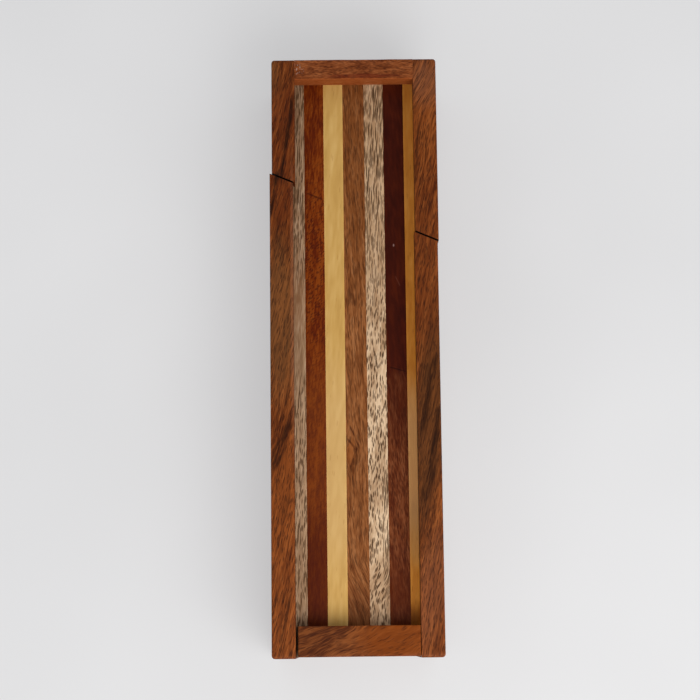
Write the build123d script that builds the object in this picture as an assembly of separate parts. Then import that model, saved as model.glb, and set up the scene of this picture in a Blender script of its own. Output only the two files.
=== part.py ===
from build123d import *
import math
import os

os.makedirs("parts", exist_ok=True)

# Puzzle box: a long wooden box whose striped lid slides out once a hidden pin is tilted clear.
# Millimetres, X across, Y along the box towards the far end, Z up, origin under the middle of the floor.

# Overall size of the closed box
box_length = 250.0
box_width = 70.0
box_height = 50.0
edge_round = 0.8

# Boards of the case
rail_width = 9.7
wall_inset = 0.5
near_wall_thickness = 12.0
far_wall_thickness = 8.6
near_inset = 0.6
floor_thickness = 5.0
floor_rebate = 4.0

# Striped panel of the lid, left to right
strip_names = ("grey", "russet", "yellow", "brown", "speckled", "dark", "amber")
middle_strip_width = 9.0
dark_strip_extra = 0.3
panel_thickness = 5.0
panel_recess = 8.5
groove_depth = 4.8
groove_side_gap = 1.0

# Head and end block of the lid
head_step = 0.5
head_shift = 0.7
head_rail_thickness = 8.6
head_rebate = 4.3
block_thickness = 12.4
lid_shift = 0.4

# Slanted saw cut that parts the head of the lid from the side rails
cut_angle = 22.9
cut_at_centre = 61.1
kerf = 0.55

# Running clearances of the lid
runner_gap = 0.1
groove_play = 0.3
end_wall_gap = 0.3
block_side_gap = 0.6

# Tilt lock: a tongue under the lid and a loose pin in the near wall
tongue_width = 6.0
tongue_thickness = 5.5
tongue_drop = 13.0
tongue_mortise = 5.0
notch_gap = 0.5
notch_side_gap = 1.0
pin_radius = 2.0
pin_length = 18.0
pin_chamfer = 0.4
pin_depth = 8.0
pin_socket = 5.0
pin_end_gap = 0.2
bore_clearance = 0.1
tongue_hole_clearance = 0.5

# Hidden dowels
corner_dowel_radius = 2.0
corner_dowel_length = 16.0
corner_dowel_in_side = 5.5
corner_dowel_count = 2
small_dowel_radius = 2.0
head_dowel_length = 14.0
head_dowel_in_stub = 5.5
block_dowel_length = 8.5
block_dowel_in_panel = 3.5
block_dowel_reach = 16.5
glue_gap = 0.05

# Levels and faces that several pieces share
half_length = box_length / 2
half_width = box_width / 2
inner_half = half_width - rail_width
panel_top = box_height - panel_recess
panel_bottom = panel_top - panel_thickness
wall_top = panel_bottom - runner_gap
end_wall_top = wall_top - end_wall_gap
near_face = -half_length + near_inset
near_wall_inner = near_face + near_wall_thickness
far_wall_inner = half_length - far_wall_thickness
head_inner = half_length - head_rail_thickness
panel_far_end = head_inner + head_rebate
panel_width = 2 * (inner_half + groove_depth - groove_side_gap)
side_strip_width = (panel_width - middle_strip_width) / (len(strip_names) - 1)
panel_left = lid_shift - panel_width / 2
wall_outer = half_width - wall_inset
head_half = (box_width - head_step) / 2
stub_inner_half = head_half - rail_width
block_half = inner_half - block_side_gap
block_middle = near_face + block_thickness / 2
pin_level = wall_top - pin_depth


def slab(x_from, x_to, y_from, y_to, z_from, z_to):
    """Square-edged board between the given faces."""
    low_corner = Align.MIN, Align.MIN, Align.MIN
    return Pos(x_from, y_from, z_from) * Box(x_to - x_from, y_to - y_from, z_to - z_from, align=low_corner)


def along_y(outline, y_from, y_to):
    """Bar with the given X, Z outline, running from y_from to y_to."""
    section = Plane(origin=(0, y_to, 0), x_dir=(1, 0, 0), z_dir=(0, -1, 0))
    return extrude(section * make_face(Polyline(*outline, close=True)), amount=y_to - y_from)


def rod(start, axis, length, radius):
    """Round rod from a start point along an axis."""
    return extrude(Plane(origin=start, z_dir=axis.direction) * Circle(radius), amount=length)


def edges_on(solid, *planes):
    """Edges that lie wholly in every given (axis, position) plane."""
    found = solid.edges()
    for axis, position in planes:
        found = found.filter_by_position(axis, position, position)
    return found


def eased(solid, *edge_sets):
    """The solid with each named set of edges sanded round."""
    edges = ShapeList(edge for planes in edge_sets for edge in edges_on(solid, *planes))
    return fillet(edges, edge_round)


def scarf(solid, keep, side):
    """The part of a bar on one side of the slanted cut, half a kerf back from the saw line."""
    angle = math.radians(cut_angle)
    normal = Vector(math.sin(angle), math.cos(angle), 0)
    on_cut = Vector(0, cut_at_centre, 0) + normal * (side * kerf / 2)
    return split(solid, bisect_by=Plane(origin=on_cut, z_dir=normal), keep=keep)


def save(name, shape):
    export_step(shape, f"parts/{name}.step")


# Floor, let flush into stopped rebates under all four walls
floor_board = slab(
    -inner_half - floor_rebate,
    inner_half + floor_rebate,
    near_wall_inner - floor_rebate,
    far_wall_inner + floor_rebate,
    0,
    floor_thickness,
)
save("floor_board", floor_board)

# Dowels that pin the two end walls between the side walls
corner_dowels = []
corner_sockets = []
corner_dowel_step = (pin_level - pin_radius - floor_thickness) / (corner_dowel_count + 1)
for wall_middle in (near_face + near_wall_thickness / 2, half_length - far_wall_thickness / 2):
    for row in range(corner_dowel_count):
        height = floor_thickness + (row + 1) * corner_dowel_step
        for side in (-1, 1):
            outer_end = inner_half + corner_dowel_in_side
            axis = Axis.X if side < 0 else -Axis.X
            start = (side * outer_end, wall_middle, height)
            corner_dowels.append(rod(start, axis, corner_dowel_length, corner_dowel_radius))
            socket_start = (side * (outer_end + glue_gap), wall_middle, height)
            socket_length = corner_dowel_length + 2 * glue_gap
            corner_sockets.append(rod(socket_start, axis, socket_length, corner_dowel_radius + glue_gap))
save("corner_dowels", Compound(children=corner_dowels))

# Side walls, full length, set in a little below the rails; the lid runs on their top edges
for name, side in (("left_wall", -1), ("right_wall", 1)):
    faces = sorted((side * inner_half, side * wall_outer))
    wall = slab(*faces, -half_length, half_length, 0, wall_top)
    wall = eased(
        wall,
        ((Axis.X, side * wall_outer), (Axis.Z, 0)),
        ((Axis.X, side * wall_outer), (Axis.Y, -half_length)),
        ((Axis.X, side * wall_outer), (Axis.Y, half_length)),
    )
    save(name, wall - floor_board - corner_sockets)

# Tongue that hangs from the lid, and the loose pin that crosses it when the box is tilted
tongue_far = block_middle + tongue_thickness / 2
tongue_near = block_middle - tongue_thickness / 2
tongue_low = wall_top - tongue_drop
tongue_top = panel_top + tongue_mortise
tongue_faces = lid_shift - tongue_width / 2, lid_shift + tongue_width / 2
tongue_blank = slab(*tongue_faces, tongue_near, tongue_far, tongue_low, tongue_top)
notch_half = tongue_width / 2 + notch_side_gap
bore_end = notch_half + pin_socket

# Near wall: notch for the tongue and a blind cross bore that the left wall closes
near_wall = slab(-inner_half, inner_half, near_face, near_wall_inner, 0, end_wall_top)
notch = slab(
    -notch_half, notch_half, tongue_near - notch_gap, near_wall_inner, tongue_low - notch_gap, end_wall_top
)
bore = rod((-inner_half, block_middle, pin_level), Axis.X, inner_half + bore_end, pin_radius + bore_clearance)
save("near_wall", near_wall - floor_board - corner_sockets - notch - bore)

# Far wall, low enough for the lid to pass over it
far_wall = slab(-inner_half, inner_half, far_wall_inner, half_length, 0, end_wall_top)
far_wall = eased(far_wall, ((Axis.Y, half_length), (Axis.Z, 0)))
save("far_wall", far_wall - floor_board - corner_sockets)

# Loose steel pin, drawn at the left end of its bore, clear of the tongue
pin_start = (-inner_half + pin_end_gap, block_middle, pin_level)
lock_pin = rod(pin_start, Axis.X, pin_length, pin_radius)
save("lock_pin", chamfer(lock_pin.edges(), pin_chamfer))

# Side rails, glued on the walls, rebated over the edges of the panel and cut off on the slant
for name, side in (("left_rail", -1), ("right_rail", 1)):
    groove_top = panel_top + groove_play
    outline = [
        (side * half_width, wall_top),
        (side * half_width, box_height),
        (side * inner_half, box_height),
        (side * inner_half, groove_top),
        (side * (inner_half + groove_depth), groove_top),
        (side * (inner_half + groove_depth), wall_top),
    ]
    rail = along_y(outline, -half_length, half_length)
    rail = eased(
        rail,
        ((Axis.X, side * half_width), (Axis.Z, box_height)),
        ((Axis.X, side * half_width), (Axis.Y, -half_length)),
        ((Axis.Y, -half_length), (Axis.Z, box_height)),
    )
    save(name, scarf(rail, Keep.BOTTOM, -1))

# Dowels between the head rail and its two stubs
head_dowel_y = half_length - head_rail_thickness / 2
head_dowel_z = (panel_top + box_height) / 2
head_dowels = []
head_sockets = []
for side in (-1, 1):
    outer_end = stub_inner_half + head_dowel_in_stub
    axis = Axis.X if side < 0 else -Axis.X
    start = (head_shift + side * outer_end, head_dowel_y, head_dowel_z)
    head_dowels.append(rod(start, axis, head_dowel_length, small_dowel_radius))
    socket_start = (head_shift + side * (outer_end + glue_gap), head_dowel_y, head_dowel_z)
    head_sockets.append(
        rod(socket_start, axis, head_dowel_length + 2 * glue_gap, small_dowel_radius + glue_gap)
    )
save("head_dowels", Compound(children=head_dowels))

# Head of the lid: a rail between two stubs sawn from the side rails, all housing the far end of the panel
panel_blank = slab(panel_left, panel_left + panel_width, near_face, panel_far_end, panel_bottom, panel_top)
for name, side in (("head_left_stub", -1), ("head_right_stub", 1)):
    outer_face = head_shift + side * head_half
    faces = sorted((outer_face, head_shift + side * stub_inner_half))
    stub = slab(*faces, -half_length, half_length, panel_bottom, box_height)
    stub = eased(
        stub,
        ((Axis.X, outer_face), (Axis.Z, box_height)),
        ((Axis.X, outer_face), (Axis.Y, half_length)),
        ((Axis.Y, half_length), (Axis.Z, box_height)),
    )
    save(name, scarf(stub, Keep.TOP, 1) - panel_blank - head_sockets)
head_faces = head_shift - stub_inner_half, head_shift + stub_inner_half
head_rail = slab(*head_faces, head_inner, half_length, panel_bottom, box_height)
head_rail = eased(head_rail, ((Axis.Y, half_length), (Axis.Z, box_height)))
save("head_rail", head_rail - panel_blank - head_sockets)

# Dowels between the end block and the panel
block_dowel_low = panel_top - block_dowel_in_panel
block_dowels = []
block_sockets = []
for side in (-1, 1):
    dowel_x = lid_shift + side * block_dowel_reach
    block_dowels.append(
        rod((dowel_x, block_middle, block_dowel_low), Axis.Z, block_dowel_length, small_dowel_radius)
    )
    block_sockets.append(
        rod(
            (dowel_x, block_middle, block_dowel_low - glue_gap),
            Axis.Z,
            block_dowel_length + 2 * glue_gap,
            small_dowel_radius + glue_gap,
        )
    )
save("block_dowels", Compound(children=block_dowels))

# End block on the near end of the panel, running between the side rails
block_far = near_face + block_thickness
end_block = slab(lid_shift - block_half, lid_shift + block_half, near_face, block_far, panel_top, box_height)
end_block = fillet(end_block.faces().sort_by(Axis.Z).last.edges(), edge_round)
save("end_block", end_block - tongue_blank - block_sockets)

# Lock tongue, glued up through the middle strip into the end block
pin_hole = rod(
    (tongue_faces[0], block_middle, pin_level), Axis.X, tongue_width, pin_radius + tongue_hole_clearance
)
save("lock_tongue", tongue_blank - pin_hole)

# Seven strips of different woods, glued edge to edge; what the dark one has over, the amber one lacks
strip_widths = dict.fromkeys(strip_names, side_strip_width)
strip_widths["brown"] = middle_strip_width
strip_widths["dark"] += dark_strip_extra
strip_widths["amber"] -= dark_strip_extra
strip_left = panel_left
for name, strip_width in strip_widths.items():
    strip_right = strip_left + strip_width
    strip = slab(strip_left, strip_right, near_face, panel_far_end, panel_bottom, panel_top)
    save(f"{name}_strip", strip - tongue_blank - block_sockets)
    strip_left = strip_right
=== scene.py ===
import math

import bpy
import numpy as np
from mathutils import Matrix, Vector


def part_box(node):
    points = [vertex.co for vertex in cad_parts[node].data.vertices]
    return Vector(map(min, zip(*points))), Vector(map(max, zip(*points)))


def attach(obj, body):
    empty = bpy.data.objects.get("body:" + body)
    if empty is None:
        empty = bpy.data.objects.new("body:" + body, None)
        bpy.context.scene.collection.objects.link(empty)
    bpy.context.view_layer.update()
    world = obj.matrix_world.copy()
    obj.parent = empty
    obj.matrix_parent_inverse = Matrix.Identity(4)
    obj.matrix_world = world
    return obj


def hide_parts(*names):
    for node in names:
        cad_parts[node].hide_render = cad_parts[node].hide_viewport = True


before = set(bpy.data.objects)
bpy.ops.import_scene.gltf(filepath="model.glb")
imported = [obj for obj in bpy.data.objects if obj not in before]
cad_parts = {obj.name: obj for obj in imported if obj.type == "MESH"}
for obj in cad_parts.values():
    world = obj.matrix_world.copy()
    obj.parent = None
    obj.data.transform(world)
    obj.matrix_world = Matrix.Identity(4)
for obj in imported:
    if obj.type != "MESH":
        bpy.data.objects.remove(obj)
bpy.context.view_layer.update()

# %% [markdown]
# # A striped puzzle box
# This lesson dresses the solids of a long wooden puzzle box. Its lid is a panel of seven woods
# glued edge to edge, held between two dark rails that a slanted saw cut parts from the lid's head.
# The solids already stand in the right place, in metres, with the floor at zero height. We keep
# them wherever they are out of sight, and plane a finer board in place of each one that shows.

MM = 0.001
scene = bpy.context.scene

# %% [markdown]
# ## Where the camera stands
# The box was photographed from almost straight above, a little from the near end. A camera can be
# aimed with a tracking constraint, but we know its three directions exactly, so we write them as
# the columns of a matrix: right, up, and back towards the viewer.

# %% Camera
IMAGE_PX = 700
FOCAL_PX = 1800
SENSOR_MM = 36.0
NEAREST_SEEN = 0.01
camera_place = np.array([-6.93, -116.56, 783.1]) * MM
camera_right = np.array([0.99992, -0.01137, 0.00476])
camera_up = np.array([0.01048, 0.98745, 0.15757])
camera_back = np.cross(camera_right, camera_up)

camera_data = bpy.data.cameras.new("camera_above")
camera_data.sensor_width = SENSOR_MM
camera_data.lens = SENSOR_MM * FOCAL_PX / IMAGE_PX
camera_data.clip_start = NEAREST_SEEN
camera = bpy.data.objects.new("camera_above", camera_data)
camera_columns = np.column_stack([camera_right, camera_up, camera_back, camera_place])
camera.matrix_world = Matrix(np.vstack([camera_columns, [0, 0, 0, 1]]).tolist())
scene.collection.objects.link(camera)
scene.camera = camera
print("camera stands", round(camera_place[2] / MM), "mm up, lens", round(camera_data.lens, 1), "mm")

# %% [markdown]
# ## Daylight in a plain room
# The light is soft. Most of it comes over the near right corner, so the right rail and the end block
# shade the panel beside them a little, and the soft shadows on the table fall to the left and to
# the far side. One big square lamp does that. The rest comes from pale walls all round, while the
# ceiling above the camera is dark: oiled wood mirrors a little of what is above it, and a bright
# ceiling would lie over the dark strips like a veil. All together just make a white sheet white.

# %% Lamp and room
KEY_POWER = 3.3
KEY_SIZE = 0.5
KEY_DISTANCE = 0.7
KEY_BEARING = math.radians(-64)
KEY_HEIGHT = math.radians(51)
WALL_LEVEL = 0.8
CEILING_LEVEL = 0.08
CEILING_EDGE = 0.7
CEILING_MIDDLE = 0.97
ROOM_COLOUR = (0.98, 0.985, 1.0, 1.0)
LAMP_COLOUR = (1.0, 0.985, 0.965)

lamp_data = bpy.data.lights.new("window", "AREA")
lamp_data.shape = "SQUARE"
lamp_data.size = KEY_SIZE
lamp_data.energy = KEY_POWER
lamp_data.color = LAMP_COLOUR
lamp = bpy.data.objects.new("window", lamp_data)
to_lamp = np.array([
    math.cos(KEY_BEARING) * math.cos(KEY_HEIGHT),
    math.sin(KEY_BEARING) * math.cos(KEY_HEIGHT),
    math.sin(KEY_HEIGHT),
])
lamp_side = np.cross([0, 0, 1], to_lamp)
lamp_side = lamp_side / np.linalg.norm(lamp_side)
lamp_top = np.cross(to_lamp, lamp_side)
lamp_columns = np.column_stack([lamp_side, lamp_top, to_lamp, to_lamp * KEY_DISTANCE])
lamp.matrix_world = Matrix(np.vstack([lamp_columns, [0, 0, 0, 1]]).tolist())
scene.collection.objects.link(lamp)

room = bpy.data.worlds.new("room")
scene.world = room
room.use_nodes = True
room_nodes, room_links = room.node_tree.nodes, room.node_tree.links
direction = room_nodes.new("ShaderNodeTexCoord")
direction_parts = room_nodes.new("ShaderNodeSeparateXYZ")
wall_to_ceiling = room_nodes.new("ShaderNodeMapRange")
wall_to_ceiling.interpolation_type = "SMOOTHSTEP"
room_levels = {
    "From Min": CEILING_EDGE, "From Max": CEILING_MIDDLE, "To Min": WALL_LEVEL, "To Max": CEILING_LEVEL,
}
for place, value in room_levels.items():
    wall_to_ceiling.inputs[place].default_value = value
room_links.new(direction.outputs["Generated"], direction_parts.inputs["Vector"])
room_links.new(direction_parts.outputs["Z"], wall_to_ceiling.inputs["Value"])
room_links.new(wall_to_ceiling.outputs["Result"], room_nodes["Background"].inputs["Strength"])
room_nodes["Background"].inputs["Color"].default_value = ROOM_COLOUR
scene.view_settings.view_transform = "Standard"
print("lamp", KEY_POWER, "W at", KEY_DISTANCE, "m; walls", WALL_LEVEL, "and ceiling", CEILING_LEVEL)

# %% [markdown]
# ## A short way to write materials
# Every finish here is drawn by nodes, with no pictures. Adding nodes one by one takes many lines,
# so this small class adds a node, types in or plugs in its inputs, and hands back the socket that
# the next node needs. Places are in millimetres, because a maker thinks of grain in millimetres.

# %% Finish: one material in the making
MIX_SHARE, MIX_FIRST, MIX_SECOND, MIX_RESULT = 0, 6, 7, 2


def tint(red, green, blue):
    """A colour as seen on a screen, 0 to 255, turned into the linear light that shaders use."""
    seen = np.array([red, green, blue]) / 255
    linear = np.where(seen <= 0.04045, seen / 12.92, ((seen + 0.055) / 1.055) ** 2.4)
    return (*linear.tolist(), 1.0)


class Finish:
    """A material in the making. Most methods add a node or two and return the socket to use next."""

    def __init__(self, name):
        self.material = bpy.data.materials.new(name)
        self.material.use_nodes = True
        self.tree = self.material.node_tree
        self.tree.nodes.clear()
        self.colour = None

    def node(self, kind, inputs, **settings):
        """Adds a node, sets its choices, then types in or plugs in each input."""
        made = self.tree.nodes.new(kind)
        for setting, value in settings.items():
            setattr(made, setting, value)
        for place, value in inputs.items():
            if isinstance(value, bpy.types.NodeSocket):
                self.tree.links.new(value, made.inputs[place])
            else:
                made.inputs[place].default_value = value
        return made

    def place(self):
        """Where a point lies on the box, in millimetres."""
        metres = self.node("ShaderNodeTexCoord", {}).outputs["Object"]
        scaled = self.node("ShaderNodeVectorMath", {0: metres, "Scale": 1 / MM}, operation="SCALE")
        return scaled.outputs["Vector"]

    def fitted(self, vector, size, centre=(0, 0, 0), turn=0.0):
        """The vector as seen from a centre, turned about the upright and measured in units of size."""
        spin = (0, 0, math.radians(turn))
        inputs = {"Vector": vector, "Location": centre, "Rotation": spin, "Scale": size}
        return self.node("ShaderNodeMapping", inputs, vector_type="TEXTURE").outputs["Vector"]

    def parts(self, vector):
        """The three numbers of a vector."""
        return self.node("ShaderNodeSeparateXYZ", {"Vector": vector}).outputs

    def joined(self, x, y, z):
        """A vector made of three numbers."""
        return self.node("ShaderNodeCombineXYZ", {"X": x, "Y": y, "Z": z}).outputs["Vector"]

    def sum(self, operation, a, b=0.0, c=0.0):
        """One step of arithmetic."""
        return self.node("ShaderNodeMath", {0: a, 1: b, 2: c}, operation=operation).outputs["Value"]

    def soft(self, value, low, high, to_low=0.0, to_high=1.0):
        """A smooth step of the value from low to high."""
        inputs = {"Value": value, "From Min": low, "From Max": high}
        inputs |= {"To Min": to_low, "To Max": to_high}
        made = self.node("ShaderNodeMapRange", inputs, interpolation_type="SMOOTHSTEP")
        return made.outputs["Result"]

    def noise(self, vector, detail=3.0, rough=0.55):
        """Cloudy noise, about one cloud to each unit of the vector."""
        inputs = {"Vector": vector, "Scale": 1.0, "Detail": detail, "Roughness": rough}
        return self.node("ShaderNodeTexNoise", inputs).outputs["Fac"]

    def mix(self, share, first, second, blend="MIX"):
        """One colour changing into another by a share from 0 to 1."""
        inputs = {MIX_SHARE: share, MIX_FIRST: first, MIX_SECOND: second}
        made = self.node("ShaderNodeMix", inputs, data_type="RGBA", blend_type=blend)
        return made.outputs[MIX_RESULT]

    def lay(self, mask, strength, over):
        """Lays a second colour over the first where the mask says, at most by the strength."""
        self.colour = self.mix(self.sum("MULTIPLY", mask, strength), self.colour, over)

    def ramp(self, value, stops):
        """Colours along a scale: (position, colour) pairs."""
        made = self.node("ShaderNodeValToRGB", {"Fac": value})
        bar = made.color_ramp
        while len(bar.elements) < len(stops):
            bar.elements.new(0.5)
        for element, (position, colour) in zip(bar.elements, stops):
            element.position = position
            element.color = colour
        return made.outputs["Color"]


short_words = [word for word in vars(Finish) if not word.startswith("_")]
print("materials are written with", len(short_words), "short words")

# %% [markdown]
# ## The table top
# The box lies on a pale, plain sheet. A large flat grid is enough, with a faint cloudiness so that
# it reads as paper and not as empty space. Part of its brightness is its own, as on a light table,
# but only for the eye and for mirrors: the Light Path node keeps that part from lighting the box,
# and the rest still takes the box's shadow.

# %% Table top
SHEET_HALF = 4.0
SHEET_POINTS = 9
PAPER_CLOUD_MM = 160
OWN_GLOW = 0.55


def flat_sheet(half_side, steps):
    """Points of a level square grid: x and y both run from -half_side to half_side, z is 0."""
    line = np.linspace(-half_side, half_side, steps)
    x, y = np.meshgrid(line, line)
    points = np.stack([x, y, np.zeros_like(x)], axis=-1).reshape(-1, 3)
    corner = (np.arange(steps - 1)[:, None] * steps + np.arange(steps - 1)[None, :]).ravel()
    faces = np.stack([corner, corner + 1, corner + 1 + steps, corner + steps], axis=-1)
    return points, faces


sheet_points, sheet_faces = flat_sheet(SHEET_HALF, SHEET_POINTS)
sheet_mesh = bpy.data.meshes.new("table_top")
sheet_mesh.from_pydata(sheet_points.tolist(), [], sheet_faces.tolist())
table_top = bpy.data.objects.new("table_top", sheet_mesh)
scene.collection.objects.link(table_top)

paper = Finish("pale_paper")
paper_cloud = paper.noise(paper.fitted(paper.place(), (PAPER_CLOUD_MM,) * 3), 2.0)
paper_colour = paper.ramp(paper_cloud, [(0.3, tint(223, 223, 224)), (0.7, tint(228, 228, 229))])
paper_shader = paper.node("ShaderNodeBsdfPrincipled", {"Base Color": paper_colour, "Roughness": 0.9})
paper_glow = paper.node("ShaderNodeEmission", {"Color": paper_colour, "Strength": 1.0})
ray = paper.node("ShaderNodeLightPath", {}).outputs
seen = paper.sum("MAXIMUM", ray["Is Camera Ray"], ray["Is Glossy Ray"])
seen = paper.sum("MAXIMUM", seen, ray["Is Transmission Ray"])
paper_mix = paper.node("ShaderNodeMixShader", {
    0: paper.sum("MULTIPLY", seen, OWN_GLOW),
    1: paper_shader.outputs["BSDF"],
    2: paper_glow.outputs["Emission"],
})
paper.node("ShaderNodeOutputMaterial", {"Surface": paper_mix.outputs["Shader"]})
sheet_mesh.materials.append(paper.material)
print("table top has", len(sheet_faces), "squares")

# %% [markdown]
# ## A board, planed and eased by hand
# Each visible board is a profile carried along a straight path. The profile is a polygon with square
# corners that are then rounded, and the radius wanders a little along the board, because the edges
# were eased with sandpaper and not by a machine. At each end the edges that a hand can reach shrink
# into a rounded rim. Boards could also be cubes with a Bevel modifier, but then every edge would be
# equally round, and a slanted saw cut or a stopped rebate would need a boolean.

# %% Rounded profiles
ARC_POINTS = 5
WORN_REACH = 1.1 * MM
FLAT_SHARE = 0.4


def rounded_profile(corners, radii):
    """Each corner becomes a curve (1-t)^2 A + 2t(1-t) C + t^2 B between two points A and B that lie
    one radius from the corner C on its edges; two more points follow on the flat. Rows of corners
    give rows of profiles. Also returns how worn each point is: 1 on a corner, 0 on a flat."""
    to_next = np.roll(corners, -1, axis=1) - corners
    length = np.linalg.norm(to_next, axis=2, keepdims=True)
    ahead = to_next / length
    behind = -np.roll(ahead, 1, axis=1)
    radius = radii[:, :, None]
    t = np.linspace(0, 1, ARC_POINTS)[None, None, :, None]
    enter = (corners + radius * behind)[:, :, None]
    leave = (corners + radius * ahead)[:, :, None]
    arc = (1 - t) ** 2 * enter + 2 * t * (1 - t) * corners[:, :, None] + t ** 2 * leave
    reach = np.minimum(WORN_REACH + radii.max(), length * FLAT_SHARE)
    flats = np.stack([corners + ahead * reach, corners + ahead * (length - reach)], axis=2)
    profile = np.concatenate([arc, flats], axis=2)
    worn = np.zeros(profile.shape[:3])
    worn[:, :, :ARC_POINTS] = 1
    return profile.reshape(len(radii), -1, 2), worn.reshape(len(radii), -1)


print("a profile has", ARC_POINTS, "points to a corner")

# %% [markdown]
# A board is told by its stations. Each says where the board is crossed, at what slope, and which
# corners the profile has there. Two stations are enough for a plain bar. Two a hair apart, with
# different corners, make a step, as where a rebate stops. A step needs no rows in between.

# %% Board maker
RIM_ROWS = 4
BODY_ROWS = np.linspace(0.01, 0.99, 41)
STEP_ROWS = np.array([0.01, 0.99])
STEP_RUN = 0.05 * MM
KEPT_ROUND = 0.15
WAVE_TURNS = 5, 13, 29


def carried_board(stations, radii, rims, easing, wander, seed):
    """Rows of a profile carried through stations (at, slope, corners). A row's place along the board
    is at + slope * across, blended in equal steps from one station to the next, one rim short of the
    ends. In the rim rows, edge k moves inwards by rim * easing[k] * (1 - sin a), and every corner
    follows its two edges, while the row stands out from the last plain one by rim * cos a."""
    last = len(stations) - 1
    turn = np.linspace(0, math.pi / 2, RIM_ROWS)
    sink, stand_out = 1 - np.sin(turn), np.cos(turn)
    runs = [there[0] - here[0] for here, there in zip(stations, stations[1:])]
    body = np.concatenate([
        index + (BODY_ROWS if run > 2 * STEP_RUN else STEP_ROWS) for index, run in enumerate(runs)
    ])
    share = np.concatenate([np.zeros(RIM_ROWS), body, np.full(RIM_ROWS, last)])
    sunk = np.concatenate([sink, 0 * body, sink[::-1]])
    inset = np.concatenate([rims[0] * sink, 0 * body, rims[1] * sink[::-1]])
    out = np.concatenate([-rims[0] * stand_out, 0 * body, rims[1] * stand_out[::-1]])
    before = np.minimum(share.astype(int), last - 1)
    blend = (share - before)[:, None]
    places, slopes, outlines = (np.array(column) for column in zip(*stations))
    places[0] += rims[0]
    places[last] -= rims[1]
    corners = outlines[before] * (1 - blend[..., None]) + outlines[before + 1] * blend[..., None]
    edge = np.roll(corners, -1, axis=1) - corners
    turning = np.roll(corners, -1, axis=1)
    area = (corners[..., 0] * turning[..., 1] - turning[..., 0] * corners[..., 1]).sum(axis=1)
    outward = np.stack([edge[..., 1], -edge[..., 0]], axis=-1) * np.sign(area)[:, None, None]
    outward = outward / np.linalg.norm(outward, axis=-1, keepdims=True)
    inwards = -outward * inset[:, None, None] * np.array(easing)[None, :, None]
    corners = corners + inwards + np.roll(inwards, 1, axis=1)
    phase = np.random.default_rng(seed).uniform(0, 2 * math.pi, (len(WAVE_TURNS), len(radii)))
    waves = sum(np.sin(share[:, None] * turns + lag) for turns, lag in zip(WAVE_TURNS, phase))
    shrink = 1 - (1 - KEPT_ROUND) * sunk[:, None]
    wandering = np.array(radii) * (1 + wander * waves / len(WAVE_TURNS))
    profile, worn = rounded_profile(corners, wandering * shrink)
    across, height = profile[..., 0], profile[..., 1]
    here = places[before][:, None] + slopes[before][:, None] * across
    there = places[before + 1][:, None] + slopes[before + 1][:, None] * across
    run = here + blend * (there - here) + out[:, None]
    worn[(share == 0) | (share == last)] = 1
    return across, run, height, worn


print("a board has", RIM_ROWS, "rows to a rim and", len(BODY_ROWS), "between two stations")

# %% [markdown]
# The arrays still have to become a mesh: neighbouring rows are joined by squares, and each end is
# closed by one many-sided face. The wear is stored as an attribute named arris, which is what a
# joiner calls the sharp edge between two faces, and the materials read it there.

# %% From arrays to a mesh object
SHARP_ANGLE = math.radians(40)


def board_object(name, across, run, height, worn, lengthwise="Y"):
    """Puts the rows of a carried profile into a mesh, lengthwise along Y or X, faces outward."""
    rows, around = across.shape
    order = (across, run, height) if lengthwise == "Y" else (run, across, height)
    points = np.stack(order, axis=-1).reshape(-1, 3)
    row = np.arange(rows - 1)[:, None] * around
    here = np.arange(around)[None, :]
    beside = (here + 1) % around
    squares = np.stack([row + here, row + beside, row + around + beside, row + around + here], axis=-1)
    squares = squares.reshape(-1, 4)
    near_cap = np.arange(around)[::-1]
    far_cap = np.arange(around) + (rows - 1) * around
    first, second, third = points[squares[:, 0]], points[squares[:, 1]], points[squares[:, 2]]
    middle = points.mean(axis=0)
    swept = np.einsum("ij,ij->i", np.cross(second - first, third - first), first - middle).sum()
    if swept < 0:
        squares, near_cap, far_cap = squares[:, ::-1], near_cap[::-1], far_cap[::-1]
    mesh = bpy.data.meshes.new(name)
    mesh.from_pydata(points.tolist(), [], squares.tolist() + [near_cap.tolist(), far_cap.tolist()])
    mesh.shade_smooth()
    mesh.set_sharp_from_angle(angle=SHARP_ANGLE)
    arris = mesh.attributes.new("arris", "FLOAT", "POINT")
    arris.data.foreach_set("value", worn.ravel())
    made = bpy.data.objects.new(name, mesh)
    scene.collection.objects.link(made)
    return made


def fit_board(board, node, body, finish):
    """The board takes the place of a solid, moves with its body and wears a finish."""
    board.data.materials.append(finish.material)
    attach(board, body)
    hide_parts(node)
    low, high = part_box(node)
    points = np.empty(len(board.data.vertices) * 3)
    board.data.vertices.foreach_get("co", points)
    points = points.reshape(-1, 3)
    off = max(np.abs(points.min(0) - low).max(), np.abs(points.max(0) - high).max()) / MM
    print(f"{board.name}: {len(points)} points, box within {off:.2f} mm of {node}")


# %% [markdown]
# ## What all the woods share
# Wood is a bundle of fibres. Seen from any side it shows long streaks where the board was cut
# through the year rings, finer fibres on top, and in many woods pores: short dark dashes where a
# vessel was cut open. All three are noise that is stretched along the grain. Since the noise is
# three-dimensional, the ends of a board show dots where its faces show dashes, as real end grain does.

# %% Grain that can sway, bend and flow round a knot
SWAY_MM = 30, 45, 30
CROSS_SWAY_MM = 25, 12, 12
ANY_DEPTH_MM = 1000


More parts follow.
